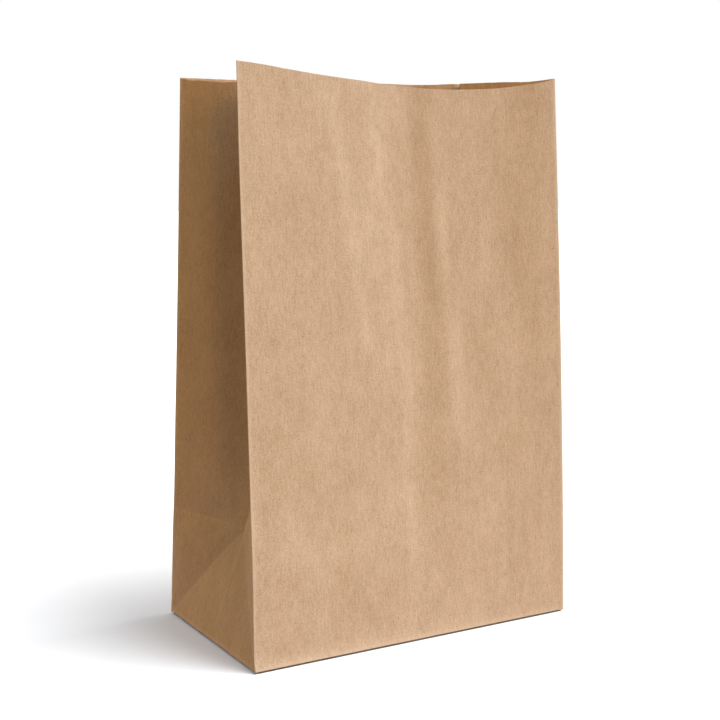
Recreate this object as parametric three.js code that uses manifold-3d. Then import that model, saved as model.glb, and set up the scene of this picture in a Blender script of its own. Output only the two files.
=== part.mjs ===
// A brown paper lunch bag: one sheet of kraft paper, folded and pasted, standing open.
//
// The sheet is wrapped into a tube with a pasted lap down the back panel. Each side of the tube is a
// gusset that pleats inward on a centre crease. The lower end is folded like a parcel into a flat
// block bottom: the two sides tuck in first, then the back flap, then the front flap laps over it.
//
// Frame: millimetres, +Z up. The origin is the middle of the base, on its underside. The front panel
// faces -Y, the gussets face -X and +X, and the lapped seam is on the back panel, towards +Y.

import * as THREE from 'three';
import Module from 'manifold-3d';
import { mergeVertices } from 'three/addons/utils/BufferGeometryUtils.js';

// Driving dimensions.
const WIDTH = 160;          // front panel, from side fold to side fold
const DEPTH = 90;           // gusset, opened flat
const HEIGHT = 245;         // base fold to cut edge, along the paper
const PAPER = 0.13;         // one layer of kraft paper
const CROSS_CREASE = 51;    // base fold to the crease across each gusset, along the paper
const TUCK = 55;            // how far each side flap is tucked in under the base
const FLAP_LAP = 20;        // how far the front bottom flap laps over the back one
const SEAM_LAP = 18;        // width of the pasted lap on the back panel
const SEAM_EDGE = -6;       // where the free edge of the lap runs on the back panel, along X
const LAP_RAMP = 3;         // the length over which the paper settles beside a lap

// How the open mouth has closed up a little. Each corner fold leans by `lean` at the cut edge.
const CORNERS = {
  frontLeft: { base: [-WIDTH / 2, -DEPTH / 2], lean: [-1, 9], power: 1.3 },
  frontRight: { base: [WIDTH / 2, -DEPTH / 2], lean: [-4, 8.7], power: 1.3 },
  backRight: { base: [WIDTH / 2, DEPTH / 2], lean: [-3, -10], power: 1.1 },
  backLeft: { base: [-WIDTH / 2, DEPTH / 2], lean: [4.7, -10.6], power: 0.9 },
};
const FRONT_BOW = 13;       // how far the front panel's middle bows inward at the cut edge
const BACK_BOW = 18;        // the same for the back panel
const BOW_POWER = 1.1;      // how the bows grow from nothing at the base

// The cut edge at the mouth.
const RIM = 244.8;          // height of the cut edge at the four corner folds
const FRONT_DIP = 5.6;      // depth of the shallow curve cut in the front panel
const DIP_X = 8;            // where that curve is lowest
const LEFT_GUSSET_DIP = 4;  // how far each gusset's centre crease ends below the corners
const RIGHT_GUSSET_DIP = 0.8;

// How finely the sheet is divided.
const PANEL_COLUMNS = 14;
const GUSSET_COLUMNS = 3;   // in each half of a gusset
const ROWS_BELOW = 4;       // rows up to the cross crease
const ROWS_ABOVE = 12;      // rows from the cross crease to the cut edge

const FLOOR = 3 * PAPER;    // top of the thickest part of the base: three layers
const ABOVE_FLOOR = FLOOR + PAPER;
const SAME = 1e-4;          // two points closer than this are one point

const lerp = (a, b, t) => a + (b - a) * t;

// Where a corner fold stands in plan at a height.
function cornerAt(corner, height) {
  const grow = (height / HEIGHT) ** corner.power;
  return corner.base.map((value, axis) => value + corner.lean[axis] * grow);
}

// Where a gusset's centre crease stands in plan between two corner folds. The paper of each half
// keeps its width of DEPTH / 2, so the nearer the folds come, the further the crease moves inward.
function creaseBetween(from, to) {
  const along = [to[0] - from[0], to[1] - from[1]];
  const span = Math.hypot(...along);
  const inset = Math.sqrt(Math.max((DEPTH / 2) ** 2 - (span / 2) ** 2, 0));
  const inward = [-along[1] / span, along[0] / span];
  return [0, 1].map((axis) => (from[axis] + to[axis]) / 2 + inward[axis] * inset);
}

// The three creases of a gusset at a height: the centre crease above the cross crease, and below it
// the two diagonals that run from the base corners up to the apex, with the flat middle between.
function gussetCreases(first, second, height) {
  if (height >= CROSS_CREASE) {
    const centre = creaseBetween(cornerAt(first, height), cornerAt(second, height));
    return [centre, centre, centre];
  }
  const apex = creaseBetween(cornerAt(first, CROSS_CREASE), cornerAt(second, CROSS_CREASE));
  const rise = height / CROSS_CREASE;
  const starts = [first.base, [first.base[0], 0], second.base];
  return starts.map((start) => [0, 1].map((axis) => lerp(start[axis], apex[axis], rise)));
}

// The cut edge's height over the front panel: corners high, lowest at DIP_X.
function frontRim(x) {
  const reach = x < DIP_X ? WIDTH / 2 + DIP_X : WIDTH / 2 - DIP_X;
  const power = x < DIP_X ? 1.2 : 2;
  const away = Math.min(Math.abs(x - DIP_X) / reach, 1);
  return RIM - FRONT_DIP * (1 - away ** power);
}

// The apex of each gusset lies lower than the cross crease's ends, because the paper leans there.
function apexHeight(first, second) {
  const apex = creaseBetween(cornerAt(first, CROSS_CREASE), cornerAt(second, CROSS_CREASE));
  return Math.sqrt(CROSS_CREASE ** 2 - (Math.abs(first.base[0]) - Math.abs(apex[0])) ** 2);
}

// The fractions across the back panel where its columns run: an even division, and four columns
// that draw the lap. The free edge is two columns at one place, one on each layer.
function backColumns() {
  const fraction = (x) => 0.5 - x / WIDTH;
  const edge = fraction(SEAM_EDGE);
  const inner = fraction(SEAM_EDGE + SEAM_LAP);
  const settled = fraction(SEAM_EDGE + SEAM_LAP + LAP_RAMP);
  const columns = [
    { t: settled, lift: 0 },
    { t: inner, lift: PAPER },
    { t: edge, lift: PAPER },
    { t: edge, lift: 0 },
  ];
  for (let i = 0; i < PANEL_COLUMNS; i += 1) {
    const t = i / PANEL_COLUMNS;
    if (t < settled - SAME || t > edge + SAME) columns.push({ t, lift: 0 });
    else if (t > inner + SAME && t < edge - SAME) columns.push({ t, lift: PAPER });
  }
  return columns.sort((a, b) => a.t - b.t || b.lift - a.lift);
}

// One closed section through the bag's outside, anticlockwise from the front left corner. Each
// point is [x, y, rim, crease]: its place in plan, the height its column reaches at the cut edge, and
// the height at which its column meets the cross crease.
function section(height, withSeam) {
  const { frontLeft, frontRight, backRight, backLeft } = CORNERS;
  const corner = {
    frontLeft: cornerAt(frontLeft, height),
    frontRight: cornerAt(frontRight, height),
    backRight: cornerAt(backRight, height),
    backLeft: cornerAt(backLeft, height),
  };
  const points = [];

  const bowGrowth = (height / HEIGHT) ** BOW_POWER;
  const addPanel = (from, to, columns, bow, rimAt) => {
    for (const { t, lift } of columns) {
      const x = lerp(from[0], to[0], t);
      const y = lerp(from[1], to[1], t) + bow * bowGrowth * 4 * t * (1 - t) + lift;
      points.push([x, y, rimAt(x), CROSS_CREASE]);
    }
  };
  const addGusset = (first, second, dip) => {
    const [low, middle, high] = gussetCreases(first, second, height);
    const apex = apexHeight(first, second);
    const between = (fold, crease, near) => [
      lerp(fold[0], crease[0], near), lerp(fold[1], crease[1], near),
      RIM - dip * near, lerp(CROSS_CREASE, apex, near),
    ];
    const firstFold = cornerAt(first, height);
    const secondFold = cornerAt(second, height);
    for (let i = 0; i < GUSSET_COLUMNS; i += 1) {
      points.push(between(firstFold, low, i / GUSSET_COLUMNS));
    }
    points.push(...[low, middle, high].map((crease) => between(crease, crease, 1)));
    for (let i = 1; i < GUSSET_COLUMNS; i += 1) {
      points.push(between(secondFold, high, 1 - i / GUSSET_COLUMNS));
    }
  };

  const even = Array.from({ length: PANEL_COLUMNS }, (_, i) => ({ t: i / PANEL_COLUMNS, lift: 0 }));
  const back = backColumns().map(({ t, lift }) => ({ t, lift: withSeam ? lift : 0 }));
  addPanel(corner.frontLeft, corner.frontRight, even, FRONT_BOW, frontRim);
  addGusset(frontRight, backRight, RIGHT_GUSSET_DIP);
  addPanel(corner.backRight, corner.backLeft, back, -BACK_BOW, () => RIM);
  addGusset(backLeft, frontLeft, LEFT_GUSSET_DIP);
  return points;
}

// A section moved inward by a distance, with mitred corners. Points that coincide stay together.
function movedInward(points, distance) {
  const far = (i, step) => {
    let j = i;
    do {
      j = (j + step + points.length) % points.length;
    } while (Math.hypot(points[j][0] - points[i][0], points[j][1] - points[i][1]) < SAME);
    return points[j];
  };
  return points.map((point, i) => {
    const before = new THREE.Vector2(point[0] - far(i, -1)[0], point[1] - far(i, -1)[1]).normalize();
    const after = new THREE.Vector2(far(i, 1)[0] - point[0], far(i, 1)[1] - point[1]).normalize();
    const normal = new THREE.Vector2(-before.y - after.y, before.x + after.x).normalize();
    const reach = distance / (normal.x * -after.y + normal.y * after.x);
    return [point[0] + normal.x * reach, point[1] + normal.y * reach, ...point.slice(2)];
  });
}

// The rows of the sheet, as fractions of the way up: below 1 they run to the cross crease, and from
// 1 to 2 they run on to the cut edge.
function rowSteps() {
  const steps = [];
  for (let i = 0; i < ROWS_BELOW; i += 1) steps.push(i / ROWS_BELOW);
  for (let i = 0; i <= ROWS_ABOVE; i += 1) steps.push(1 + i / ROWS_ABOVE);
  return steps;
}

// One row of points in space. The inside rows start on the floor of the bag, not at the base.
function row(step, inside) {
  const start = inside ? FLOOR : 0;
  const height = step < 1 ? lerp(start, CROSS_CREASE, step) : lerp(CROSS_CREASE, HEIGHT, step - 1);
  const outline = section(height, !inside);
  const placed = inside ? movedInward(outline, PAPER) : outline;
  return placed.map(([x, y, rim, crease]) => {
    const z = step < 1 ? lerp(start, crease, step) : lerp(crease, rim, step - 1);
    return new THREE.Vector3(x, y, z);
  });
}

// The walls and the plain base as one closed mesh: outside rows going up, the cut edge across the
// paper's thickness, inside rows going down, the underside and the floor. Both sides of the paper are
// split along the same diagonals, so that a twisted gusset keeps its thickness.
function foldedShell() {
  const outside = rowSteps().map((step) => row(step, false));
  const inside = rowSteps().map((step) => row(step, true));
  const loops = [...outside, ...inside.reverse()];
  const corners = [];
  const addTriangle = (a, b, c) => {
    const apart = [a.distanceTo(b), b.distanceTo(c), c.distanceTo(a)];
    if (Math.min(...apart) > SAME) corners.push(a, b, c);
  };
  for (let i = 0; i + 1 < loops.length; i += 1) {
    const [first, second] = [loops[i], loops[i + 1]];
    first.forEach((point, j) => {
      const k = (j + 1) % first.length;
      if (i < outside.length) {
        addTriangle(point, first[k], second[k]);
        addTriangle(point, second[k], second[j]);
      } else {
        addTriangle(point, first[k], second[j]);
        addTriangle(first[k], second[k], second[j]);
      }
    });
  }
  const cap = (loop, up) => {
    const middle = new THREE.Vector3(0, 0, loop[0].z);
    loop.forEach((point, j) => {
      const next = loop[(j + 1) % loop.length];
      if (up) addTriangle(middle, point, next);
      else addTriangle(middle, next, point);
    });
  };
  cap(loops[0], false);
  cap(loops[loops.length - 1], true);
  return new THREE.BufferGeometry().setFromPoints(corners);
}

// A flat-sided block: a plan outline given a bottom and a top.
function prism(outline, bottom, top) {
  const shape = new THREE.Shape(outline.map(([x, y]) => new THREE.Vector2(x, y)));
  const block = new THREE.ExtrudeGeometry(shape, { depth: top - bottom, bevelEnabled: false });
  return block.translate(0, 0, bottom);
}

function rectangle(x0, y0, x1, y1) {
  return [[x0, y0], [x1, y0], [x1, y1], [x0, y1]];
}

// Between the two side tucks the floor is thinner: one layer in front of the lap and behind it, and
// two where the flaps lap and the back flap settles beside the front flap's edge.
function floorRecesses() {
  const edge = WIDTH / 2 - TUCK;
  const wall = DEPTH / 2 - 2 * PAPER;
  const lap = FLAP_LAP / 2;
  return [
    prism(rectangle(-edge, -wall, edge, -lap), PAPER, ABOVE_FLOOR),
    prism(rectangle(-edge, -lap - PAPER, edge, lap + LAP_RAMP + PAPER), 2 * PAPER, ABOVE_FLOOR),
    prism(rectangle(-edge, lap + LAP_RAMP, edge, wall), PAPER, ABOVE_FLOOR),
  ];
}

// At each end of the base the bottom flaps have 45 degree sides, which leave a triangle where the
// tucked side is all there is: a layer higher underneath and a layer lower on the floor.
function endTriangles() {
  const reach = WIDTH / 2 - DEPTH / 2;
  const past = 1;                      // the lower cut runs this far past the bag's outside
  const clear = 4 * PAPER;             // the upper cut stays this far inside the leaning wall
  return [-1, 1].flatMap((side) => {
    const triangle = (grow) => [
      [side * (WIDTH / 2 + grow), -DEPTH / 2 - grow],
      [side * reach, 0],
      [side * (WIDTH / 2 + grow), DEPTH / 2 + grow],
    ];
    return [prism(triangle(past), -past, PAPER), prism(triangle(-clear), 2 * PAPER, ABOVE_FLOOR)];
  });
}

// Underneath, the front flap's free edge stands on the back flap, which ramps up to pass over it.
function lapGrooves() {
  const lap = FLAP_LAP / 2;
  const end = WIDTH / 2 - TUCK;
  const corners = [[-end - lap, 0], [-end, lap], [end, lap], [end + lap, 0]];
  return corners.slice(1).map(([x, y], i) => {
    const [fromX, fromY] = corners[i];
    const mitre = LAP_RAMP * Math.tan(Math.PI / 8);
    const length = Math.hypot(x - fromX, y - fromY) + 2 * mitre;
    const profile = new THREE.Shape([
      new THREE.Vector2(0, -PAPER), new THREE.Vector2(LAP_RAMP, -PAPER),
      new THREE.Vector2(LAP_RAMP, 0), new THREE.Vector2(0, PAPER),
    ]);
    const wedge = new THREE.ExtrudeGeometry(profile, { depth: length, bevelEnabled: false });
    const along = new THREE.Vector3(x - fromX, y - fromY, 0).normalize();
    const outward = new THREE.Vector3(-along.y, along.x, 0);
    const axes = new THREE.Matrix4().makeBasis(outward, new THREE.Vector3(0, 0, 1), along);
    wedge.translate(0, 0, -mitre).applyMatrix4(axes);
    return wedge.translate(fromX, fromY, 0);
  });
}

const wasm = await Module();
wasm.setup();

// A closed three.js geometry as a solid that can be cut.
function solidFrom(geometry) {
  const bare = new THREE.BufferGeometry().setAttribute('position', geometry.getAttribute('position'));
  if (geometry.index) bare.setIndex(geometry.index);
  const merged = mergeVertices(bare, SAME);
  return new wasm.Manifold(new wasm.Mesh({
    numProp: 3,
    vertProperties: new Float32Array(merged.getAttribute('position').array),
    triVerts: new Uint32Array(merged.index.array),
  }));
}

function geometryFrom(solid) {
  const { vertProperties, triVerts } = solid.getMesh();
  const geometry = new THREE.BufferGeometry();
  geometry.setAttribute('position', new THREE.BufferAttribute(vertProperties, 3));
  geometry.setIndex(new THREE.BufferAttribute(triVerts, 1));
  geometry.computeVertexNormals();
  return geometry;
}

function paperBag() {
  const cuts = [...floorRecesses(), ...endTriangles(), ...lapGrooves()];
  const solid = cuts.map(solidFrom).reduce((bag, cut) => bag.subtract(cut), solidFrom(foldedShell()));
  const kraft = new THREE.MeshStandardMaterial({ color: 0xc39a72, roughness: 0.85, metalness: 0 });
  const mesh = new THREE.Mesh(geometryFrom(solid), kraft);
  mesh.name = 'paper_bag';
  return mesh;
}

const group = new THREE.Group();
group.add(paperBag());

export default group;
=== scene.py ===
# %% [markdown]
# # A brown paper lunch bag
# The bag is one sheet of brown kraft paper. A bag machine wraps the sheet into a tube, pastes the tube
# shut with a lap down the back, pleats both sides inward, and folds the lower end flat like a parcel.
# It could be modelled as a box with five plates, but then every fold would be a joint between two bodies.
# This lesson makes it as the machine does: first the flat sheet with its crease lines, then the folds,
# then the paper's thickness, and last the paper's own look. The finished part's frame is loaded first,
# because it fixes the bag's size and place.

# %% Load the frame
import math

import bmesh
import bpy
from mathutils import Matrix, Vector, noise


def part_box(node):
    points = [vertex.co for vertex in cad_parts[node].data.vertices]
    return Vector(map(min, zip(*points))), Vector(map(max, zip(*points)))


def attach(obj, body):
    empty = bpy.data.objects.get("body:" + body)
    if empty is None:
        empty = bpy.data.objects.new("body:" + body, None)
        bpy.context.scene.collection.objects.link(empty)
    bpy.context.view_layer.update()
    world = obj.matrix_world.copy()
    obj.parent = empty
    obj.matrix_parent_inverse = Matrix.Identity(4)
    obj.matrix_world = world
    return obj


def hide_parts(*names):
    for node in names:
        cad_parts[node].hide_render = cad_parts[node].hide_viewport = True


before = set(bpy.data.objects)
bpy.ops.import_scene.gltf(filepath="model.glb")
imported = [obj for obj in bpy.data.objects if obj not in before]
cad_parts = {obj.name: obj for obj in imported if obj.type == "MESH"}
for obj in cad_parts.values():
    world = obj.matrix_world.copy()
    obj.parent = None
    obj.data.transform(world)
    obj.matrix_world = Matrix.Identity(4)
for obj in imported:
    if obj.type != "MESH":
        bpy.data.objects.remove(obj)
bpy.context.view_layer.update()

low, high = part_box("paper_bag")
print("frame holds", sorted(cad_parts), "and stands", round(high.z, 4), "m high")

# %% [markdown]
# ## The camera
# A bag could be seen straight from the front, but from the left and a little above it also shows a gusset
# and the cut edge of the mouth. A long lens from more than half a metre keeps the upright folds nearly
# parallel. The camera comes first, so that every later step can be seen.

# %% Place the camera
LENS = 63.25            # focal length in mm
TILT_DOWN = 7.23        # degrees below level
TURN_RIGHT = 30.42      # degrees from straight ahead
camera_data = bpy.data.cameras.new("camera")
camera_data.lens = LENS
camera_data.sensor_width = 36.0
camera = bpy.data.objects.new("camera", camera_data)
camera.location = (-0.2931, -0.4919, 0.1915)
camera.rotation_euler = (math.radians(90 - TILT_DOWN), 0, math.radians(-TURN_RIGHT))
bpy.context.scene.collection.objects.link(camera)
bpy.context.scene.camera = camera
bag_middle = Vector((0, 0, high.z / 2))
print("camera stands", round((camera.location - bag_middle).length, 3), "m from the bag")

# %% [markdown]
# ## Sizes
# Everything about the bag is worked out in millimetres, as a bag maker would, and scaled to metres once
# at the end. Width, depth and height come from the frame. The rest are the flaps, laps and creases of a
# block-bottom bag of this size.

# %% Name the sizes
MM = 0.001
WIDTH = round(2 * high.x / MM, 1)
DEPTH = round(-2 * low.y / MM, 1)
RIM = round(high.z / MM, 1)
HEIGHT = 245.0          # base fold to cut edge, measured along the leaning paper
PAPER = 0.13            # thickness of one layer
LAYER = 0.16            # a layer and the little air under it
CROSS_CREASE = 51.0     # base fold to the crease across each gusset
TUCK = 55.0             # length of the paper folded under the base
SEAM_LAP = 18.0         # width of the pasted lap on the back
SEAM_EDGE = -6.0        # where the lap's free edge runs on the back, along X
LAP_RAMP = 3.0          # length over which paper settles beside a lap
print("front panel", WIDTH, "mm wide, gusset", DEPTH, "mm, rim", RIM, "mm high")

# %% Mark the folds along the girth
# The girth is measured along the sheet, to the right round the bag from the front left fold.
FRONT_LEFT = 0.0
FRONT_RIGHT = WIDTH
BACK_RIGHT = WIDTH + DEPTH
BACK_LEFT = -DEPTH
CORNER_FOLDS = (BACK_LEFT, FRONT_LEFT, FRONT_RIGHT, BACK_RIGHT)
GUSSET_STARTS = (BACK_LEFT, FRONT_RIGHT)
GIRTH = 2 * (WIDTH + DEPTH)
INNER_EDGE = BACK_LEFT - (WIDTH / 2 + SEAM_EDGE + SEAM_LAP)
OUTER_EDGE = BACK_RIGHT + (WIDTH / 2 - SEAM_EDGE)
print("the sheet is", OUTER_EDGE - INNER_EDGE, "by", HEIGHT + TUCK, "mm")

# %% [markdown]
# ## Smooth curves through a few points
# Paper bends in slow curves. A Bezier or a polynomial could follow them, but both can swing past the points
# they are given. One helper draws a curve through a short list of points, with a slope at each point that
# never overshoots its neighbours, and two smaller ones blend between values.

# %% Make the curve helpers
def blend(a, b, share):
    return a + (b - a) * share


def ease(share):
    """0 to 1 with a soft start and end."""
    share = min(max(share, 0.0), 1.0)
    return share * share * (3 - 2 * share)


def curve_through(points):
    """A function whose smooth curve passes through the (position, value) points."""
    spans = list(zip(points, points[1:]))
    rises = [(q[1] - p[1]) / (q[0] - p[0]) for p, q in spans]
    inner = [0.0 if a * b <= 0 else 2 * a * b / (a + b) for a, b in zip(rises, rises[1:])]
    slopes = [rises[0], *inner, rises[-1]]

    def value(position):
        position = min(max(position, points[0][0]), points[-1][0])
        index = next(i for i, (_, q) in enumerate(spans) if position <= q[0])
        (start, a), (end, b) = spans[index]
        length = end - start
        t = (position - start) / length
        bend_a, bend_b = slopes[index] * length, slopes[index + 1] * length
        return (
            a * (1 + 2 * t) * (1 - t) ** 2 + bend_a * t * (1 - t) ** 2
            + b * t * t * (3 - 2 * t) + bend_b * t * t * (t - 1)
        )

    return value


print("halfway along a curve:", round(curve_through([(0, 0), (1, 1)])(0.5), 3))

# %% [markdown]
# ## The four corner folds
# An open bag never stands quite square. Above its crisp base each corner fold leans inward, because the
# pleats in the gussets want to close. Where the four folds stand at each height decides the whole shape,
# so each fold is a line of its own, and the panels are hung between them.

# %% Lean the corner folds
# Each fold's side of the bag, then (height, lean along X, lean along Y) from its place at the base.
CORNERS = {
    "front_left": ((-1, -1), [
        (0, 0, 0), (5, -0.1, 0.9), (38, 0.0, 1.5), (60, 0.3, 3.1), (75, 0.4, 4.1), (120, 0.1, 5.6),
        (221, -0.9, 8.5), (245, -1.0, 9.0),
    ]),
    "front_right": ((1, -1), [(0, 0, 0), (41, -0.4, 0.9), (135, -1.8, 4.0), (245, -4.0, 8.7)]),
    "back_right": ((1, 1), [(0, 0, 0), (34, -0.3, -1.6), (60, -0.6, -5), (80, -1, -6), (245, -3, -10)]),
    "back_left": ((-1, 1), [
        (0, 0, 0), (34, 0.6, -1.8), (51, 0.6, -3.8), (60, 0.4, -5.4), (75, 0.5, -6.5), (120, 1.5, -8.2),
        (154, 2.4, -9.0), (200, 3.6, -9.8), (245, 4.7, -10.6),
    ]),
}
lean_curves = {
    name: [curve_through([(station[0], station[axis]) for station in stations]) for axis in (1, 2)]
    for name, (_, stations) in CORNERS.items()
}


def corner_at(name, height):
    """Where a corner fold stands in plan."""
    side_x, side_y = CORNERS[name][0]
    lean_x, lean_y = lean_curves[name]
    return Vector((side_x * WIDTH / 2 + lean_x(height), side_y * DEPTH / 2 + lean_y(height)))


mouth = [corner_at(name, HEIGHT) for name in CORNERS]
print("corners at the mouth:", [tuple(round(c, 1) for c in corner) for corner in mouth])

# %% [markdown]
# ## The gussets
# Each gusset is pleated inward on a centre crease. The crease could be given a depth by hand, but paper
# doesn't stretch: the gusset's halves keep their width, so the closer two corner folds stand, the deeper
# the crease lies, and its depth is worked out from that. Below the cross crease the pleat opens into a flat
# triangle that stands on the base: its two sloping sides run from the base corners up to the apex.

# %% Place the gusset creases
def crease_between(first, second):
    """The centre crease in plan, between two corner folds at one height."""
    along = second - first
    inset = math.sqrt(max((DEPTH / 2) ** 2 - (along.length / 2) ** 2, 0.0))
    return (first + second) / 2 + Vector((-along.y, along.x)).normalized() * inset


def apex_of(first, second):
    """The apex in plan, and its height above the base."""
    plan = crease_between(corner_at(first, CROSS_CREASE), corner_at(second, CROSS_CREASE))
    inset = WIDTH / 2 - abs(plan.x)
    return plan, math.sqrt(CROSS_CREASE ** 2 - inset ** 2)


print("left apex:", [round(c, 1) for c in apex_of("back_left", "front_left")[0]])

# %% [markdown]
# ## Relief
# The panels aren't flat. The front bows inward towards the mouth and gathers into one soft valley near the
# middle. The back bows in too, and near its right corner it buckles forward against the gusset. A cloth
# simulation could find such shapes, but not these ones. Each is a curve across the panel instead, times
# a growth from nothing at the base to all of it at the mouth.

# %% Bow the front and back panels
FRONT_BOW = 13.0        # how far the front's valley comes in at the mouth
BACK_SPREAD = 0.95      # the back is drawn in, so its profile is read on a slightly narrower width
bow_growth = curve_through([(0, 0), (30, 0.1), (60, 0.19), (85, 0.26), (120, 0.42), (245, 1)])
front_profile = curve_through([
    (-80, 0), (-45, 0.36), (-17, 0.67), (1, 1), (6, 1), (20, 0.77), (32, 0.70), (52, 0.5), (66, 0.22),
    (72, 0.1), (77, 0.03), (80, 0),
])
back_profile = curve_through([
    (-76, 0), (-54, 4.5), (-30, 9), (0, 14), (21, 16.5), (32, 17), (38, 19.5), (43, 22.2), (49, 25),
    (53.5, 26.9), (57, 22.5), (62, 15.5), (68, 7.4), (73, 2.2), (76, 0),
])
valley_drift = curve_through([(0, -3), (87, -3), (140, 0), (205, -2.5), (245, -0.5)])


def front_bow(off_middle, height):
    """How far the front comes in, at a place counted along the sheet from the front's middle."""
    off_edge = 1 - (2 * off_middle / WIDTH) ** 2
    return FRONT_BOW * bow_growth(height) * front_profile(off_middle - valley_drift(height) * off_edge)


def back_bow(off_middle, height):
    return bow_growth(height) * back_profile(off_middle * BACK_SPREAD)


print("the front's valley at the mouth is", round(front_bow(0, HEIGHT), 1), "mm deep")
print("the back's buckle at the mouth is", round(max(back_bow(x, HEIGHT) for x in range(80)), 1), "mm deep")

# %% [markdown]
# A bag that was packed flat keeps soft folds in its front, which were never pressed. Each is a low step in
# the paper: one side stands a little prouder than the other, and both come back to the panel further out.
# A hyperbolic tangent gives the step its soft edge, and a bell curve ends it.

# %% Fold the front softly
FADE = 4                # a soft fold fades out over the last 1 / FADE of its length at each end
# Each soft fold is a line of (x, height) points, the width and depth of its step, and how far it reaches.
SOFT_FOLDS = [
    ([(-1, 152), (-2, 84), (-2, 12)], 3.2, 1.0, 14),
    ([(27, 150), (25, 134), (23, 78)], 2.4, 0.45, 10),
    ([(-38, 246), (-33, 222), (-29, 195), (-24, 150), (-18, 116)], 2.8, 0.8, 13),
    ([(-13, 226), (-10, 206), (-10, 188)], 2.0, 0.5, 8),
    ([(-4, 196), (-4, 160), (-5, 130)], 2.0, 0.5, 8),
    ([(-16, 250), (-10, 210)], 1.8, 0.35, 8),
    ([(12, 250), (10.5, 205), (12, 178), (13.5, 150), (12, 120), (10, 95), (9, 80)], 4.5, -0.25, 11),
    ([(17, 240), (19, 215), (19, 178), (20, 142)], 2.0, 0.4, 8),
    ([(65, 244), (67, 200), (62, 75)], 4.0, -0.15, 9),
    ([(-37, 70), (-37, 10)], 8.0, -0.45, 22),
]


def soft_fold(fold, x, height):
    """How far one soft fold pushes the paper in, at a place on the front."""
    line, width, depth, reach = fold
    top, bottom = line[0][1], line[-1][1]
    if not bottom < height < top:
        return 0.0
    at = curve_through([(level, along) for along, level in reversed(line)])(height)
    fade = ease(FADE * (top - height) / (top - bottom)) * ease(FADE * (height - bottom) / (top - bottom))
    off = x - at
    return depth * fade * math.tanh(off / width) * math.exp(-((off / reach) ** 2))


print(len(SOFT_FOLDS), "soft folds, up to", max(abs(depth) for _, _, depth, _ in SOFT_FOLDS), "mm deep")

# %% [markdown]
# A gusset's halves aren't flat either. Each bends softly along its middle, the left one's back half most.
# The cross crease ties the gusset to its foot, so it draws both halves in a little where it runs.

# %% Bend and dent the gussets
RIGHT_CREASE = FRONT_RIGHT + DEPTH / 2
# Each bend runs up a half at one place of the girth, and stands out by so much.
HALF_BENDS = [
    (BACK_LEFT / 4, 0.3), (BACK_LEFT * 0.76, 2.3), (RIGHT_CREASE - 22, 0.4), (RIGHT_CREASE + 22, 0.3),
]
BEND_RISE = 60.0        # height above the cross crease over which the bends grow
CROSS_DENT = 1.9        # how far the cross crease pulls each gusset's halves in
DENT_REACH = 20.0       # how far above and below the crease that is felt
FULL_DENT_FROM = 14.0   # distance from a corner fold at which the dent reaches its full depth
FULL_DENT_TO = 24.0     # distance from a corner fold up to which it keeps that depth
DENT_FADE = 18.0        # length over which it then fades towards the centre crease


def gusset_bulge(girth, height):
    """How far a gusset's half bends out, furthest along its middle."""
    for crease, depth in HALF_BENDS:
        off = abs(girth - crease) / (DEPTH / 4)
        if off < 1:
            return depth * (1 - ease(off)) * ease((height - CROSS_CREASE) / BEND_RISE)
    return 0.0


def cross_dent(off_corner, height):
    """How far the paper is drawn in at the cross crease, sharpest on the crease itself."""
    near = max(0.0, 1 - abs(height - CROSS_CREASE) / DENT_REACH)
    across = ease(off_corner / FULL_DENT_FROM) * (1 - ease((off_corner - FULL_DENT_TO) / DENT_FADE))
    return CROSS_DENT * near * near * across


print("the cross crease draws the gusset in", round(cross_dent(20, CROSS_CREASE), 2), "mm")

# %% [markdown]
# Paper takes up damp and dries again, and then it cockles: it lies in small waves, longer along the grain
# than across it. A Displace modifier could do this, but noise that is read here moves the paper in the
# same step as the folds.

# %% Cockle the paper along its grain
# Each set of waves: its size across and along the grain, the slice of the noise it reads, and its depth.
COCKLES = [(17, 60, 3.0, 0.35), (7, 34, 9.0, 0.07)]


def cockle(girth, height):
    """How far the small waves push the paper in or out."""
    return sum(
        depth * noise.noise(Vector((girth / across, height / along, layer)))
        for across, along, layer, depth in COCKLES
    )


print("the front's middle cockles by", round(cockle(WIDTH / 2, HEIGHT / 2), 2), "mm at mid-height")

# %% [markdown]
# ## The cut edge
# The mouth was cut by a worn blade: a little lower across the front, uneven on the back, and rough on the
# left gusset. The pleats also pull the gussets' centres down. The rim could be cut off the finished walls,
# but it is drawn as a depth below the corners, and the walls are stretched to meet it, so that the sheet
# keeps whole squares up to its edge.

# %% Draw the rim
front_dip = curve_through([
    (-81, -0.2), (-70, 0.4), (-55, 1.75), (-39, 2.95), (-23, 3.8), (0, 4.9),
    (10, 5.5), (20, 5.8), (33, 5.4), (44, 4.8), (52, 4.0), (63, 2.4), (71, 0.9), (76, -0.6),
])
back_dip = curve_through([
    (-75, 0.5), (-61, 0.6), (-53, 0.7), (-30, 0.6), (0, 0.3), (21, 0), (42, -0.1), (48, -0.4), (53, -0.6),
    (57, -0.5), (63, 0), (77, 0),
])
# The gussets' depths run from the front corner fold, over the centre crease at 45, to the back one.
left_dip = curve_through([
    (0, -0.2), (20, 2.2), (45, 4.0), (62, 3.6), (67, 3.5), (69, 3.0), (75, 2.8), (76.5, 2.3), (83, 2.0),
    (86, 1.5), (90, 0.6),
])
right_dip = curve_through([(0, -0.6), (8, 0.1), (14, 0.4), (25, 0.1), (45, 0.1), (90, 0)])
NICK_SIZE = 2.3         # length of a nick in the cut
DEEP_NICK = 0.3         # depth of the nicks on the left gusset
NICK = 0.1              # depth of the nicks elsewhere


def rough_edge(girth):
    """Small nicks in the cut, with larger ones on the left gusset."""
    nick = noise.noise(Vector((girth / NICK_SIZE, 5.0, 0.0)))
    return nick * (DEEP_NICK if BACK_LEFT < girth < FRONT_LEFT else NICK)


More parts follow.
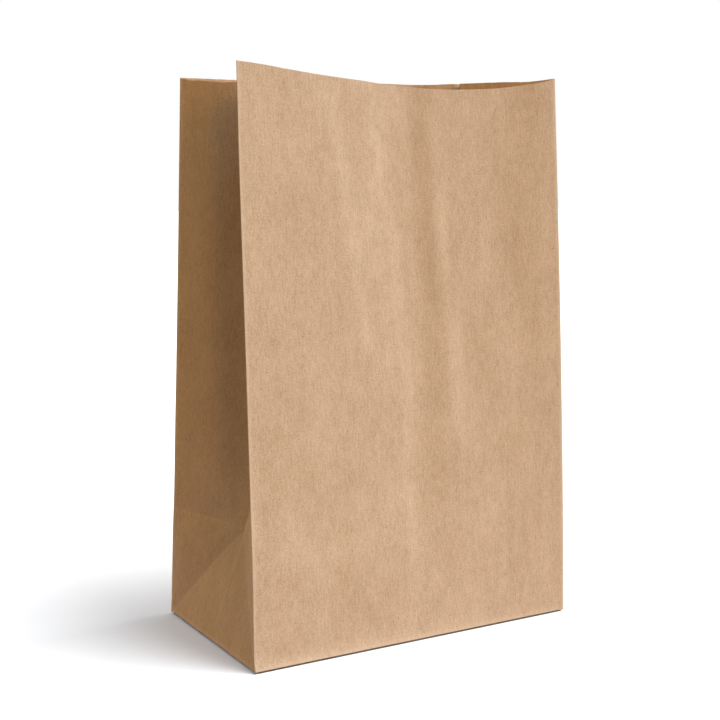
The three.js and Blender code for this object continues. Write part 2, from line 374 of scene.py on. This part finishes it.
def wall_height(height, crease, dip, girth):
    """How high a point of the sheet stands: the paper is evenly spread below and above the crease."""
    if height < CROSS_CREASE:
        return height * crease / CROSS_CREASE
    share = (height - CROSS_CREASE) / (HEIGHT - CROSS_CREASE)
    return blend(crease, RIM - dip - rough_edge(girth) * share, share)


print("the front's rim dips", round(front_dip(20), 1), "mm, the left gusset's", round(left_dip(45), 1), "mm")

# %% [markdown]
# ## Folding the walls
# Each function below takes a point of the flat sheet, as its distance round the girth and its height, and
# returns where folding carries it. Bones or hooks could turn the panels, but a rule for each point keeps
# the sheet in one piece and puts no joint at a fold. The paper's outer side is what is placed: its
# thickness comes later.

# %% Fold a panel
CALM = 9.0              # how far from a corner fold or the base fold a panel's paper lies calm
FOOT = 0.15             # how far the front's base fold stands proud of the wall
FOOT_RISE = 3.0         # height over which the foot comes out
FOOT_END = 5.0          # length over which the foot ends beside a corner fold


def front_point(girth, height):
    place = corner_at("front_left", height).lerp(corner_at("front_right", height), girth / WIDTH)
    from_fold = min(girth, WIDTH - girth)
    calm = ease(from_fold / CALM) * ease(height / CALM)
    folds = sum(soft_fold(fold, place.x, height) for fold in SOFT_FOLDS)
    foot = FOOT * ease(height / FOOT_RISE) * ease(from_fold / FOOT_END)
    place.y += front_bow(girth - WIDTH / 2, height) + (folds + cockle(girth, height)) * calm + foot
    return Vector((*place, wall_height(height, CROSS_CREASE, front_dip(place.x), girth)))


def back_point(girth, height, lifted):
    """lifted is 1 where the lap lies on the other end of the sheet."""
    share = (girth - BACK_RIGHT) / WIDTH
    place = corner_at("back_right", height).lerp(corner_at("back_left", height), share)
    calm = ease(min(share, 1 - share) * WIDTH / CALM) * ease(height / CALM)
    place.y -= back_bow(WIDTH * (0.5 - share), height) + cockle(girth, height) * calm
    place.y += LAYER * lifted
    return Vector((*place, wall_height(height, CROSS_CREASE, back_dip(place.x), girth)))


print("the front's middle at mid-height:", [round(c, 1) for c in front_point(WIDTH / 2, HEIGHT / 2)])

# %% [markdown]
# A gusset has three kinds of facet. Above the cross crease each half runs straight from its corner fold to
# the centre crease. Below it, a facet beside each corner fold swells a little, because the diagonal fold
# holds it open, and the flat triangle between the diagonals keeps a trace of the pressed centre crease.
# The diagonals were pressed less hard than the corner folds, so the paper rolls over them.

# %% Fold the foot of a gusset
CORNER_SWELL = 2.8      # the most that a facet between a corner fold and a diagonal can swell out
FRONT_SWELL = -0.3      # the share of that beside a front corner fold, which is drawn in instead
OLD_CREASE = 0.17       # depth of the centre crease left in the flat triangle
OLD_CREASE_WIDTH = 0.9  # how far from its centre that crease is seen
OLD_CREASE_FOOT = 8.0   # height at which it starts
OLD_CREASE_RISE = 10.0  # height over which it then deepens
ROLL = 0.5              # how far the soft diagonal folds stand off a sharp one
ROLL_REACH = 5.5        # how far from a diagonal its roll is felt
ROLL_END = 6.0          # how far from the centre crease a roll ends


def foot_facet(off, height, near, far, apex):
    """A point below the cross crease in plan, off from the corner fold called near, and its swell."""
    half = DEPTH / 2
    rise = height / CROSS_CREASE
    corner = corner_at(near, 0)
    middle = (corner + corner_at(far, 0)) / 2
    diagonal = corner.lerp(apex, rise)
    if off < half * rise:
        place = corner_at(near, height).lerp(diagonal, off / (half * rise))
        up = (height - CROSS_CREASE * off / half) / (CROSS_CREASE * (1 - off / half))
        swell = CORNER_SWELL * 4 * up * (1 - up) * (1 - off / half) * ease(off / CALM)
        swell *= FRONT_SWELL if near.startswith("front") else 1.0
    else:
        place = diagonal.lerp(middle.lerp(apex, rise), (off - half * rise) / (half * (1 - rise)))
        deepened = ease((height - OLD_CREASE_FOOT) / OLD_CREASE_RISE)
        swell = -OLD_CREASE * (1 - ease((half - off) / OLD_CREASE_WIDTH)) * deepened
    off_diagonal = abs(height * half - off * CROSS_CREASE) / math.hypot(half, CROSS_CREASE)
    roll = ROLL * max(0.0, 1 - off_diagonal / ROLL_REACH) ** 2
    return place, swell + roll * ease(off / CALM) * ease((half - off) / ROLL_END)


left_apex = apex_of("back_left", "front_left")[0]
beside_fold = foot_facet(10, 30, "back_left", "front_left", left_apex)
print("the back facet of the left foot swells", round(beside_fold[1], 2), "mm")

# %% Fold a gusset
CREASE_CALM = 8.0       # how far from a corner fold or the centre crease a gusset doesn't cockle
CROSS_CALM = 10.0       # how far from the base fold or the cross crease it doesn't


def gusset_point(across, height, first, second, dip, girth):
    """across runs from 0 at the first corner fold to DEPTH at the second, and dip is the rim's depth."""
    half = DEPTH / 2
    off = min(across, DEPTH - across)
    near, far = (first, second) if across < half else (second, first)
    apex, apex_height = apex_of(first, second)
    if height < CROSS_CREASE:
        place, swell = foot_facet(off, height, near, far, apex)
    else:
        centre = crease_between(corner_at(first, height), corner_at(second, height))
        place, swell = corner_at(near, height).lerp(centre, off / half), 0.0
    calm = ease(off / CREASE_CALM) * ease((half - off) / CREASE_CALM)
    calm = calm * ease(abs(height - CROSS_CREASE) / CROSS_CALM) * ease(height / CROSS_CALM)
    bulge = gusset_bulge(girth, height) - cross_dent(off, height)
    outward = Vector((math.copysign(1, apex.x), 0))
    place += outward * (cockle(girth, height) * calm + bulge + swell)
    crease = blend(CROSS_CREASE, apex_height, 1 - abs(across - half) / half)
    return Vector((*place, wall_height(height, crease, dip, girth)))


pleat = gusset_point(DEPTH / 2, HEIGHT, "back_left", "front_left", left_dip(DEPTH / 2), BACK_LEFT / 2)
print("the left pleat at the mouth:", [round(c, 1) for c in pleat])

# %% [markdown]
# ## Folding the bottom
# Below the base fold the paper turns in under the bag. The sides tuck in first, then the back flap, then
# the front flap laps over it. The flaps' corners double over on 45 degree folds, so up to five layers lie
# on each other. One flat plate would look the same from above, but not from below. Each layer gets its own
# level, and the levels run together at the base corners.

# %% Find a layer's level
TUCK_STEP = -16.0       # where along Y the tuck starts to climb from the front corners onto the back flap
TUCK_RAMP = 4.0         # length over which it climbs


def settle(distance):
    """1 on top of a lap and 0 where the paper has come down beside it."""
    return 1 - ease(distance / LAP_RAMP)


def overlap(x, y):
    """1 where the front and back flaps lie on each other near the middle of the base, else 0."""
    lap = TUCK - DEPTH / 2
    reach = WIDTH / 2 - DEPTH / 2
    beyond = max(abs(y) - lap, (abs(x) + abs(y) - reach) / math.sqrt(2))
    return settle(beyond)


def tuck_level(x, y):
    return LAYER * (2 + ease((y - TUCK_STEP) / TUCK_RAMP) + 2 * overlap(x, y))


def back_level(x, y):
    return LAYER * (1 + 2 * overlap(x, y))


print("the tuck lies", round(tuck_level(WIDTH / 2, 0), 2), "mm up, the back flap", back_level(0, 20), "mm")

# %% Fold a flap
FOLD_SOFTNESS = 0.35    # half the width over which a hard fold turns
TUCK_CLEARANCE = 0.4    # how far the tucked paper stays inside the front and back walls
CLEARANCE_RISE = 3.0    # length under the base fold over which it comes in by that much
CLEARANCE_END = 6.0     # how far from a corner fold a doubled corner needs that clearance


def flap_point(girth, under, level):
    """A point of the front or back flap, seen from the middle of the bag as the front flap. level gives
    the outer side's height of the flap itself and of the corner that is doubled over onto it."""
    from_corner = min(girth, WIDTH - girth)
    side = -1 if girth < WIDTH / 2 else 1
    inward = (from_corner - under) / math.sqrt(2)
    open_share = ease((inward + FOLD_SOFTNESS) / (2 * FOLD_SOFTNESS))
    if inward >= 0:
        x, y = side * (WIDTH / 2 - from_corner), under - DEPTH / 2
    else:
        pulled = TUCK_CLEARANCE * ease(under / CLEARANCE_RISE) * (1 - ease(from_corner / CLEARANCE_END))
        x, y = side * (WIDTH / 2 - under), from_corner + pulled - DEPTH / 2
    flat, doubled = level(x, y)
    return Vector((x, y, blend(doubled, flat, open_share)))


def front_flap(girth, under):
    return flap_point(girth, under, lambda x, y: (0.0, LAYER + PAPER))


def back_flap(girth, under, lifted):
    def level(x, y):
        flat = back_level(x, -y)
        return flat - LAYER * lifted, flat + LAYER + PAPER

    place = flap_point(WIDTH - (girth - BACK_RIGHT), under, level)
    return Vector((place.x, -place.y, place.z))


def side_flap(across, under, side):
    """across runs from the front corner fold to the back one."""
    pulled = 1 - TUCK_CLEARANCE * ease(under / CLEARANCE_RISE) / (DEPTH / 2)
    x, y = side * (WIDTH / 2 - under), (across - DEPTH / 2) * pulled
    return Vector((x, y, tuck_level(x, y)))


print("the front flap ends at", [round(c, 1) for c in front_flap(WIDTH / 2, TUCK)])

# %% [markdown]
# ## One rule for the whole sheet
# A point's distance round the girth says which panel it is on. The two ends of the sheet lie on each other
# at the seam: the right end is outside and is lifted over the other by one layer. The walls start from
# their own layer of the base, and the base stands a little hollow, because its middle is thicker.

# %% Fold a point of the sheet
SPREAD = 6.0            # height over which the walls come down onto their own layer of the base
BASE_LIFT = 0.75        # how far the base folds stand off the table, on the thicker middle of the base
BASE_SLOPE = 9.0        # how far in from the base folds the base comes down to the table
MERGE = 2.0             # how far from a base corner the layers run together


def panel_point(girth, height):
    """Where a point is folded to, and how high its panel's base fold lies in the layers."""
    wall, under = max(height, 0.0), max(-height, 0.0)
    if FRONT_LEFT <= girth <= FRONT_RIGHT:
        return (front_point(girth, wall) if height > 0 else front_flap(girth, under)), 0.0
    if FRONT_RIGHT < girth < BACK_RIGHT:
        across = girth - FRONT_RIGHT
        lift = tuck_level(WIDTH / 2, across - DEPTH / 2)
        if height <= 0:
            return side_flap(across, under, 1), lift
        return gusset_point(across, wall, "front_right", "back_right", right_dip(across), girth), lift
    if BACK_LEFT < girth < FRONT_LEFT:
        across = -girth
        lift = tuck_level(WIDTH / 2, across - DEPTH / 2)
        if height <= 0:
            return side_flap(across, under, -1), lift
        return gusset_point(DEPTH - across, wall, "back_left", "front_left", left_dip(across), girth), lift
    outer = girth > 0
    around = girth if outer else girth + GIRTH
    x = WIDTH / 2 - (around - BACK_RIGHT)
    lifted = settle(x - SEAM_EDGE - SEAM_LAP) if outer else 0.0
    place = back_point(around, wall, lifted) if height > 0 else back_flap(around, under, lifted)
    return place, LAYER * (1 - lifted)


def fold_point(girth, height):
    place, lift = panel_point(girth, height)
    corner = min(abs(girth - fold) for fold in CORNER_FOLDS)
    apart = ease(math.hypot(corner, height) / MERGE)
    if height > 0:
        place.z += (lift * apart + BASE_LIFT) * (1 - ease(height / SPREAD))
    else:
        inside = min(WIDTH / 2 - abs(place.x), DEPTH / 2 - abs(place.y))
        place.z = place.z * apart + BASE_LIFT * (1 - ease(inside / BASE_SLOPE))
    return place


print("a point on the front:", [round(c, 1) for c in fold_point(WIDTH / 2, HEIGHT / 2)])

# %% [markdown]
# ## The flat sheet
# The sheet starts as a grid. Every crease is cut across it with a bisecting plane, three cuts a crease: one
# on the line, where the paper turns, and one close on each side, so that the turn stays narrow and the
# panels beside it stay calm. A finer grid alone could show the creases too, but as saw teeth where they
# run at a slant.

# %% Make the sheet
GRID_ACROSS = 2.0       # width of a square
GRID_ALONG = 2.5        # height of a square
columns = round((OUTER_EDGE - INNER_EDGE) / GRID_ACROSS)
rows = round((HEIGHT + TUCK) / GRID_ALONG)
sheet = bmesh.new()
bmesh.ops.create_grid(sheet, x_segments=columns, y_segments=rows, size=0.5)
size = Vector((OUTER_EDGE - INNER_EDGE, HEIGHT + TUCK, 1))
bmesh.ops.scale(sheet, vec=size, verts=sheet.verts)
middle = Vector(((OUTER_EDGE + INNER_EDGE) / 2, (HEIGHT - TUCK) / 2, 0))
bmesh.ops.translate(sheet, vec=middle, verts=sheet.verts)
print("the grid has", len(sheet.faces), "squares")

# %% Cut the creases that run right across the sheet
BESIDE = (0.0, -0.5, 0.5)


def cut(sheet, start, end, inside=None, spacing=(0.0,)):
    """Cuts the sheet along a line, and along lines beside it, only in faces whose middle is inside."""
    direction = (Vector(end) - Vector(start)).normalized()
    across = Vector((-direction.y, direction.x, 0))
    for offset in spacing:
        faces = [f for f in sheet.faces if inside is None or inside(f.calc_center_median())]
        edges = {e for f in faces for e in f.edges}
        verts = {v for f in faces for v in f.verts}
        origin = Vector((*start, 0)) + across * offset
        geometry = [*verts, *edges, *faces]
        bmesh.ops.bisect_plane(sheet, geom=geometry, dist=1e-4, plane_co=origin, plane_no=across)


for girth in CORNER_FOLDS:
    cut(sheet, (girth, -TUCK), (girth, HEIGHT), spacing=BESIDE)
for left in GUSSET_STARTS:
    cut(sheet, (left + DEPTH / 2, 0), (left + DEPTH / 2, HEIGHT), spacing=BESIDE)
for girth in (OUTER_EDGE - SEAM_LAP, OUTER_EDGE - SEAM_LAP - LAP_RAMP):
    cut(sheet, (girth, -TUCK), (girth, HEIGHT))
cut(sheet, (0, 0), (1, 0), spacing=BESIDE)
print("with the long creases, the sheet has", len(sheet.faces), "faces")

# %% Cut the creases of the gussets' feet and the flaps' corners
HARD_FOLD = (0.0, -FOLD_SOFTNESS, FOLD_SOFTNESS)
JUST_ABOVE = 1.2        # the cross crease is cut in faces up to this many times its height


def between(low_girth, high_girth, low_height, high_height):
    return lambda p: low_girth < p.x < high_girth and low_height < p.y < high_height


for left in GUSSET_STARTS:
    gusset = between(left, left + DEPTH, 0, CROSS_CREASE * JUST_ABOVE)
    lower = between(left, left + DEPTH, 0, CROSS_CREASE)
    cut(sheet, (left, CROSS_CREASE), (left + DEPTH, CROSS_CREASE), gusset, BESIDE)
    apex = (left + DEPTH / 2, CROSS_CREASE)
    cut(sheet, (left, 0), apex, lower, BESIDE)
    cut(sheet, (left + DEPTH, 0), apex, lower, BESIDE)
for corner, turn, start, end in (
    (FRONT_LEFT, 1, FRONT_LEFT, FRONT_RIGHT), (FRONT_RIGHT, -1, FRONT_LEFT, FRONT_RIGHT),
    (BACK_RIGHT, 1, BACK_RIGHT, OUTER_EDGE), (BACK_LEFT, -1, INNER_EDGE, BACK_LEFT),
):
    cut(sheet, (corner, 0), (corner + turn, -1), between(start, end, -TUCK, 0), HARD_FOLD)
many_sided = [f for f in sheet.faces if len(f.verts) > 4]
bmesh.ops.triangulate(sheet, faces=many_sided)
print("creased, the sheet has", len(sheet.faces), "faces")

# %% [markdown]
# ## Wear and painted highlights along the folds
# Kraft paper turns paler where it is creased, because the fibres break, and a rounded fold catches a thin
# line of light. Both are painted as one paler line along each crease: part real wear, part painted
# highlight. The material could look for sharp edges itself, but only some renderers can. So how near each
# point is to a crease is stored in the mesh, and the material lightens the paper there.

# %% Measure how near a crease is
WEAR_AND_HIGHLIGHT_REACH = 1.1        # how far from a crease its wear and painted highlight are seen
# Each crease: its two ends on the sheet, and how pale it is painted, from its wear and a painted highlight.
CREASE_WEAR_AND_HIGHLIGHT = [((girth, 0), (girth, HEIGHT), 1.0) for girth in CORNER_FOLDS]
CREASE_WEAR_AND_HIGHLIGHT += [((INNER_EDGE, 0), (OUTER_EDGE, 0), 0.8)]
for left in GUSSET_STARTS:
    apex = (left + DEPTH / 2, CROSS_CREASE)
    CREASE_WEAR_AND_HIGHLIGHT += [((left, CROSS_CREASE), (left + DEPTH, CROSS_CREASE), 0.15)]
    CREASE_WEAR_AND_HIGHLIGHT += [((left, 0), apex, 0.3), ((left + DEPTH, 0), apex, 0.3)]
    CREASE_WEAR_AND_HIGHLIGHT += [((left + DEPTH / 2, OLD_CREASE_FOOT), (left + DEPTH / 2, HEIGHT), 0.4)]


def wear_and_highlight_at(point):
    """1 where a crease is palest, from wear and a painted highlight, and 0 away from all creases."""
    worn_and_highlit = 0.0
    for start, end, strength in CREASE_WEAR_AND_HIGHLIGHT:
        a, b = Vector(start), Vector(end)
        share = min(max((point - a).dot(b - a) / (b - a).length_squared, 0.0), 1.0)
        worn_and_highlit = max(worn_and_highlit, strength * (1 - ease((point - a.lerp(b, share)).length / WEAR_AND_HIGHLIGHT_REACH)))
    return worn_and_highlit


print("wear half a mm from the front left fold:", round(wear_and_highlight_at(Vector((0.5, 100))), 2))

# %% [markdown]
# ## The fold itself
# Now every point of the sheet is moved to where folding carries it. Its flat place could be worked out
# again afterwards by unwrapping, but unwrapping guesses. So it is kept as the sheet's UV map before the
# point is moved, and the paper's grain runs over every fold as it does on one real sheet.

# %% Fold the sheet
flat_place = sheet.loops.layers.uv.new("sheet")
wear_and_highlight = sheet.verts.layers.float.new("wear_and_highlight")
for face in sheet.faces:
    face.smooth = True
    for loop in face.loops:
        loop[flat_place].uv = loop.vert.co.xy * MM
for vert in sheet.verts:
    vert[wear_and_highlight] = wear_and_highlight_at(vert.co.xy)
    vert.co = fold_point(vert.co.x, vert.co.y)
bmesh.ops.scale(sheet, vec=(MM, MM, MM), verts=sheet.verts)
print("folded, the bag is", round(max(v.co.z for v in sheet.verts), 4), "m high")

# %% [markdown]
# ## Thickness
# Extruding the faces would give the paper its thickness too, but a Solidify modifier also closes the cut
# edges all round. It works inward from the outer side. The cut edges get their own material slot, so that
# they can be found and marked as sharp edges.

# %% Give the paper its thickness
mesh = bpy.data.meshes.new("paper_bag_sheet")
sheet.to_mesh(mesh)
sheet.free()
bag = bpy.data.objects.new("paper_bag_sheet", mesh)
bpy.context.scene.collection.objects.link(bag)
kraft = bpy.data.materials.new("kraft_paper")
cut_edge = bpy.data.materials.new("kraft_cut_edge")
mesh.materials.append(kraft)
mesh.materials.append(cut_edge)
thickness = bag.modifiers.new("thickness", "SOLIDIFY")
thickness.thickness = PAPER * MM
thickness.offset = -1
thickness.use_even_offset = False
thickness.material_offset_rim = 1
solid = bpy.data.meshes.new_from_object(bag.evaluated_get(bpy.context.evaluated_depsgraph_get()))
bag.modifiers.clear()
bag.data = solid
print("the paper is", PAPER, "mm thick and has", len(solid.polygons), "faces on its two sides and edges")

# %% Sharpen the cut edges
shell = bmesh.new()
shell.from_mesh(solid)
for edge in shell.edges:
    if len({face.material_index for face in edge.link_faces}) > 1:
        edge.smooth = False
open_edges = sum(not edge.is_manifold for edge in shell.edges)
triangles = sum(len(face.verts) - 2 for face in shell.faces)
shell.to_mesh(solid)
shell.free()
print("the bag has", triangles, "triangles and", open_edges, "open edges")

# %% [markdown]
# ## Shader maths as Python
# A material is a graph of nodes. Writing `a * 2 + b` is easier to read than six lines that add and link
# Math nodes, so one small class wraps a socket and turns the operators into nodes.

# %% Wrap a socket
class Value:
    """A number that changes over a surface: the output socket of a node."""

    def __init__(self, nodes, socket):
        self.nodes, self.socket = nodes, socket

    def _math(self, operation, *operands):
        return self.nodes.add("ShaderNodeMath", {"operation": operation}, dict(enumerate(operands)))

    def __add__(self, other):
        return self._math("ADD", self, other)

    def __radd__(self, other):
        return self._math("ADD", other, self)

    def __sub__(self, other):
        return self._math("SUBTRACT", self, other)

    def __rsub__(self, other):
        return self._math("SUBTRACT", other, self)

    def __mul__(self, other):
        return self._math("MULTIPLY", self, other)

    def __rmul__(self, other):
        return self._math("MULTIPLY", other, self)

    def above(self, start, end):
        """0 below start, 1 above end, and a smooth rise between them."""
        settings = {"interpolation_type": "SMOOTHSTEP"}
        return self.nodes.add("ShaderNodeMapRange", settings, {"Value": self, 1: start, 2: end})


print("a wrapped socket can be added, subtracted and multiplied")

# %% Make nodes with one method
class Nodes:
    """The node tree of one material, or of the world."""

    def __init__(self, owner):
        owner.use_nodes = True
        self.tree = owner.node_tree
        self.tree.nodes.clear()

    def add(self, kind, settings=None, sockets=None, output=0):
        """Adds a node, gives it its settings and then its sockets, and returns one of its outputs."""
        node = self.tree.nodes.new(kind)
        for name, setting in (settings or {}).items():
            setattr(node, name, setting)
        for key, value in (sockets or {}).items():
            if isinstance(value, Value):
                self.tree.links.new(value.socket, node.inputs[key])
            else:
                node.inputs[key].default_value = value
        return Value(self, node.outputs[output]) if node.outputs else node

    def mix(self, first, second, share):
        """A colour between two colours."""
        settings = {"data_type": "RGBA", "blend_type": "MIX"}
        return self.add("ShaderNodeMix", settings, {0: share, 6: first, 7: second}, output=2)

    def noise(self, place, scale, detail=2.0, roughness=0.5):
        """Noise from 0 to 1 that is 0.5 on average, with a size of about 1 / scale."""
        sockets = {"Vector": place, "Scale": scale, "Detail": detail, "Roughness": roughness}
        return self.add("ShaderNodeTexNoise", {"noise_dimensions": "2D"}, sockets)


print("shader maths ready")

# %% [markdown]
# ## Kraft paper
# Kraft paper is unbleached wood fibre. Its brown isn't even: broad clouds show where the pulp lay thicker,
# mottle a few millimetres wide shows where it clumped, and the fibres themselves are fine streaks that
# mostly run one way, up the bag. A few dark specks of bark and pale flecks of fibre lie among them. A
# scanned texture could show all this, but its one pattern would repeat. Here each is a noise, read on the
# flat sheet's own place in millimetres and squeezed along the grain, so that it runs on over the folds.
# Every noise moves one shade between a dark and a pale kraft. The fibres also feed a faint bump, and the
# creases are lightened last, for their wear and as a painted highlight along the folds.

# %% Name the paper's colours
DARK_KRAFT = (0.465, 0.286, 0.167, 1)
PALE_KRAFT = (0.713, 0.48, 0.319, 1)
BARK = (0.25, 0.14, 0.07, 1)
PALE_FIBRE = (0.80, 0.60, 0.42, 1)
# The pale of a worn crease, which also paints the highlight that a rounded fold catches.
WORN_AND_HIGHLIT_KRAFT = (0.80, 0.60, 0.43, 1)
SPECK_RARITY = (0.72, 0.80)     # the noise levels between which a speck or fleck comes up
BARK_SHOWS = 0.35               # how much of its own colour a dark speck has
FIBRE_SHOWS = 0.3               # how much of its own colour a pale fleck has
WEAR_AND_HIGHLIGHT_SHOWS = 0.6                # how much of its own colour a worn crease has, with its painted highlight
MATT = 0.66                     # roughness of the paper where its mottle is average
print("kraft runs from", DARK_KRAFT[:3], "to", PALE_KRAFT[:3])

# %% Mix the kraft paper
def kraft_finish(material):
    nodes = Nodes(material)
    place = nodes.add("ShaderNodeUVMap", {"uv_map": "sheet"})
    # The wear attribute: how pale a crease is painted, for its wear and a painted highlight.
    worn_and_highlit = nodes.add("ShaderNodeAttribute", {"attribute_name": "wear_and_highlight"}, output=2)

    def squeezed(across, along):
        """The place on the sheet in mm. Under 1, a pattern on it is drawn out that way."""
        factors = (across / MM, along / MM, 1)
        return nodes.add("ShaderNodeVectorMath", {"operation": "MULTIPLY"}, {0: place, 1: factors})

    clouds = nodes.noise(squeezed(1, 0.5), 0.07)
    mottle = nodes.noise(squeezed(1, 0.4), 0.25)
    fibres = nodes.noise(squeezed(1, 0.26), 1.1, roughness=0.6)
    grain = nodes.noise(squeezed(1, 0.8), 1.9, roughness=0.75)
    specks = nodes.noise(squeezed(1, 0.8), 0.8, detail=1.0).above(*SPECK_RARITY)
    flecks = nodes.noise(squeezed(1.01, 0.76), 1.1, detail=1.0).above(*SPECK_RARITY)

    # Each pattern moves the shade up and down from its middle, by its own strength.
    shade = 0.5
    for pattern, strength in ((clouds, 0.42), (mottle, 0.46), (fibres, 0.78), (grain, 1.7)):
        shade = shade + (pattern - 0.5) * strength
    colour = nodes.mix(DARK_KRAFT, PALE_KRAFT, shade)
    colour = nodes.mix(colour, BARK, specks * BARK_SHOWS)
    colour = nodes.mix(colour, PALE_FIBRE, flecks * FIBRE_SHOWS)
    # Lightens the creases: real wear, and a painted highlight along the folds.
    colour = nodes.mix(colour, WORN_AND_HIGHLIT_KRAFT, worn_and_highlit * WEAR_AND_HIGHLIGHT_SHOWS)
    roughness = MATT + (mottle - 0.5) * 0.2
    height = fibres * 0.5 + grain * 0.6 + mottle * 0.6
    bump = nodes.add("ShaderNodeBump", {}, {"Strength": 0.3, "Distance": 0.0003, "Height": height})
    finish = nodes.add("ShaderNodeBsdfPrincipled", {}, {
        "Base Color": colour, "Roughness": roughness, "Normal": bump, "Specular IOR Level": 0.35,
    })
    nodes.add("ShaderNodeOutputMaterial", {}, {"Surface": finish})


kraft_finish(kraft)
kraft_finish(cut_edge)
print("the kraft paper is a graph of", len(kraft.node_tree.nodes), "nodes")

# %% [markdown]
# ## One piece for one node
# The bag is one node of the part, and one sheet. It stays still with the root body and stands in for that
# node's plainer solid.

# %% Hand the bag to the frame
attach(bag, "root")
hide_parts("paper_bag")
print(bag.name, "is handed over with", len(bag.data.materials), "material slots")

# %% [markdown]
# ## The table
# The bag stands on a plain white table. A curved paper sweep could hide the far edge, but one large plane
# and a white backdrop do the same. The table doesn't throw its light back onto the bag: a table this
# bright would wash out the folds, so the light that it would send up comes from a light of its own.

# %% Lay the table
TABLE_SIZE = 20         # metres from the middle to the edge, so that the edge is out of sight
table_mesh = bpy.data.meshes.new("table")
top = bmesh.new()
bmesh.ops.create_grid(top, x_segments=1, y_segments=1, size=TABLE_SIZE)
top.to_mesh(table_mesh)
top.free()
table = bpy.data.objects.new("table", table_mesh)
bpy.context.scene.collection.objects.link(table)
table_paint = bpy.data.materials.new("table_white")
paint = Nodes(table_paint)
white = paint.add("ShaderNodeBsdfDiffuse", {}, {"Color": (0.88, 0.895, 0.915, 1)})
paint.add("ShaderNodeOutputMaterial", {}, {"Surface": white})
table_mesh.materials.append(table_paint)
table.visible_diffuse = False
print("the table is", 2 * TABLE_SIZE, "m wide")

# %% [markdown]
# ## Light
# Soft light comes from the front right and above, so the front is bright and the left gusset lies in its
# own shade. Area lights near the bag could do it, but they are brighter on the side that they stand on.
# Wide suns light a small thing evenly. A cool key lights the front, and warm, low fills keep the shaded
# sides brown: one from the front, one from the left and behind, one from the right. A faint blue light
# from above and one from the table below set the tone of the facets that lean.
#
# The table has its own two lights. They are over-bright, so the table comes out white where nothing stands
# in the way, and the bag still casts a soft shadow on it.

# %% Make a light for one thing
def lit_only(name, thing):
    """A collection that lets a light reach one thing only."""
    receivers = bpy.data.collections.new(name)
    receivers.objects.link(thing)
    return receivers


def shine(name, receivers, strength, spread, colour, elevation, azimuth):
    """A far light. Azimuth 0 shines from the front of the bag and 90 from its right."""
    data = bpy.data.lights.new(name, "SUN")
    data.energy = strength
    data.angle = math.radians(spread)
    data.color = colour
    light = bpy.data.objects.new(name, data)
    light.rotation_euler = (math.radians(90 - elevation), 0, math.radians(azimuth))
    light.light_linking.receiver_collection = receivers
    bpy.context.scene.collection.objects.link(light)


on_bag = lit_only("lit_bag", bag)
on_table = lit_only("lit_table", table)
print("lights can be kept to", on_bag.name, "or", on_table.name)

# %% Light the bag
COOL_KEY = (0.653, 0.84, 1.0)
WARM_FRONT = (1.0, 0.667, 0.274)
WARM_LEFT = (1.0, 0.73, 0.29)
WARM_RIGHT = (1.0, 0.68, 0.32)
SKY_BLUE = (0.38, 0.64, 1.0)
TABLE_BLUE = (0.6, 0.66, 1.0)
shine("key", on_bag, strength=4.55, spread=50, colour=COOL_KEY, elevation=50, azimuth=45)
shine("front_fill", on_bag, strength=1.74, spread=36, colour=WARM_FRONT, elevation=10, azimuth=0)
shine("left_fill", on_bag, strength=1.36, spread=60, colour=WARM_LEFT, elevation=15, azimuth=-120)
shine("sky", on_bag, strength=0.8, spread=60, colour=SKY_BLUE, elevation=90, azimuth=0)
shine("right_fill", on_bag, strength=1.5, spread=20, colour=WARM_RIGHT, elevation=25, azimuth=112)
JUST_OFF_TABLE = 0.0004
bounce_data = bpy.data.lights.new("bounce", "AREA")
bounce_data.energy = 0.11
bounce_data.size = 0.4
bounce_data.color = TABLE_BLUE
bounce = bpy.data.objects.new("bounce", bounce_data)
bounce.location = (0, 0, JUST_OFF_TABLE)
bounce.rotation_euler = (math.radians(180), 0, 0)
bounce.visible_camera = False
bounce.light_linking.receiver_collection = on_bag
bpy.context.scene.collection.objects.link(bounce)
print("the bag has a key, three fills, a sky and the table's bounce")

# %% Light the table
PURE_WHITE = (1.0, 1.0, 1.0)
shine("table_key", on_table, strength=4.3, spread=50, colour=PURE_WHITE, elevation=52, azimuth=49)
shine("table_glow", on_table, strength=2.1, spread=130, colour=PURE_WHITE, elevation=90, azimuth=0)
print("the scene has", len(bpy.data.lights), "lights")

# %% [markdown]
# The room is white to the eye but almost dark as a light, because the suns already do the lighting. A
# Light Path node tells the two apart. The Standard view leaves white as white.

# %% Surround it with white
ROOM_LIGHT = 0.004
world = bpy.data.worlds.new("studio")
bpy.context.scene.world = world
studio = Nodes(world)
seen = studio.add("ShaderNodeLightPath")
room = studio.add("ShaderNodeBackground", {}, {"Color": (1, 1, 1, 1), "Strength": ROOM_LIGHT})
backdrop = studio.add("ShaderNodeBackground", {}, {"Color": (1, 1, 1, 1)})
either = studio.add("ShaderNodeMixShader", {}, {0: seen, 1: room, 2: backdrop})
studio.add("ShaderNodeOutputWorld", {}, {"Surface": either})
bpy.context.scene.view_settings.view_transform = "Standard"
print("the room lights the bag with a strength of", ROOM_LIGHT)
